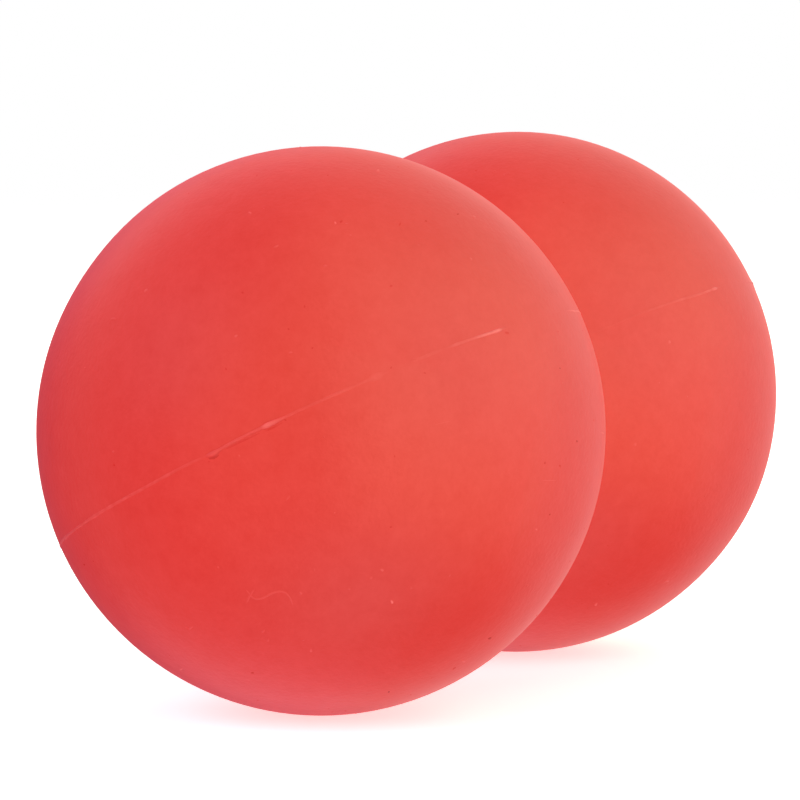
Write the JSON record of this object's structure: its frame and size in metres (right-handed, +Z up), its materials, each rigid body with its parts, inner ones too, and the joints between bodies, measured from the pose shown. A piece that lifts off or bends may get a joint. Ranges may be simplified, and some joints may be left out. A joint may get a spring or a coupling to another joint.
{
  "type": "peanut massage ball",
  "caption": "Soft rubber roller of two ball lobes joined by a smooth waist, with a seam along its length, for rolling along the muscles beside the spine.",
  "frame": {"origin": "the middle of the waist, half way between the centres of the two lobes", "axes": "+X along the long axis through both lobe centres, +Z up as the ball lies on a floor, with the seam's plane turned -26.1 degrees about +X from level"},
  "size_m": [0.1264, 0.0628, 0.0628],
  "materials": {
    "skin": "soft matte silicone rubber, red, with a pale velvety bloom at the edges",
    "bond": "trimmed rubber cement, a little paler than the skin",
    "core": "firm solid rubber, plain moulded",
    "link": "hard rubber, plain moulded"
  },
  "bodies": {
    "root": {"upper_half_skin": "skin", "lower_half_skin": "skin", "seam_bond": "bond", "left_core_ball": "core", "right_core_ball": "core", "core_link": "link"}
  },
  "joints": []
}
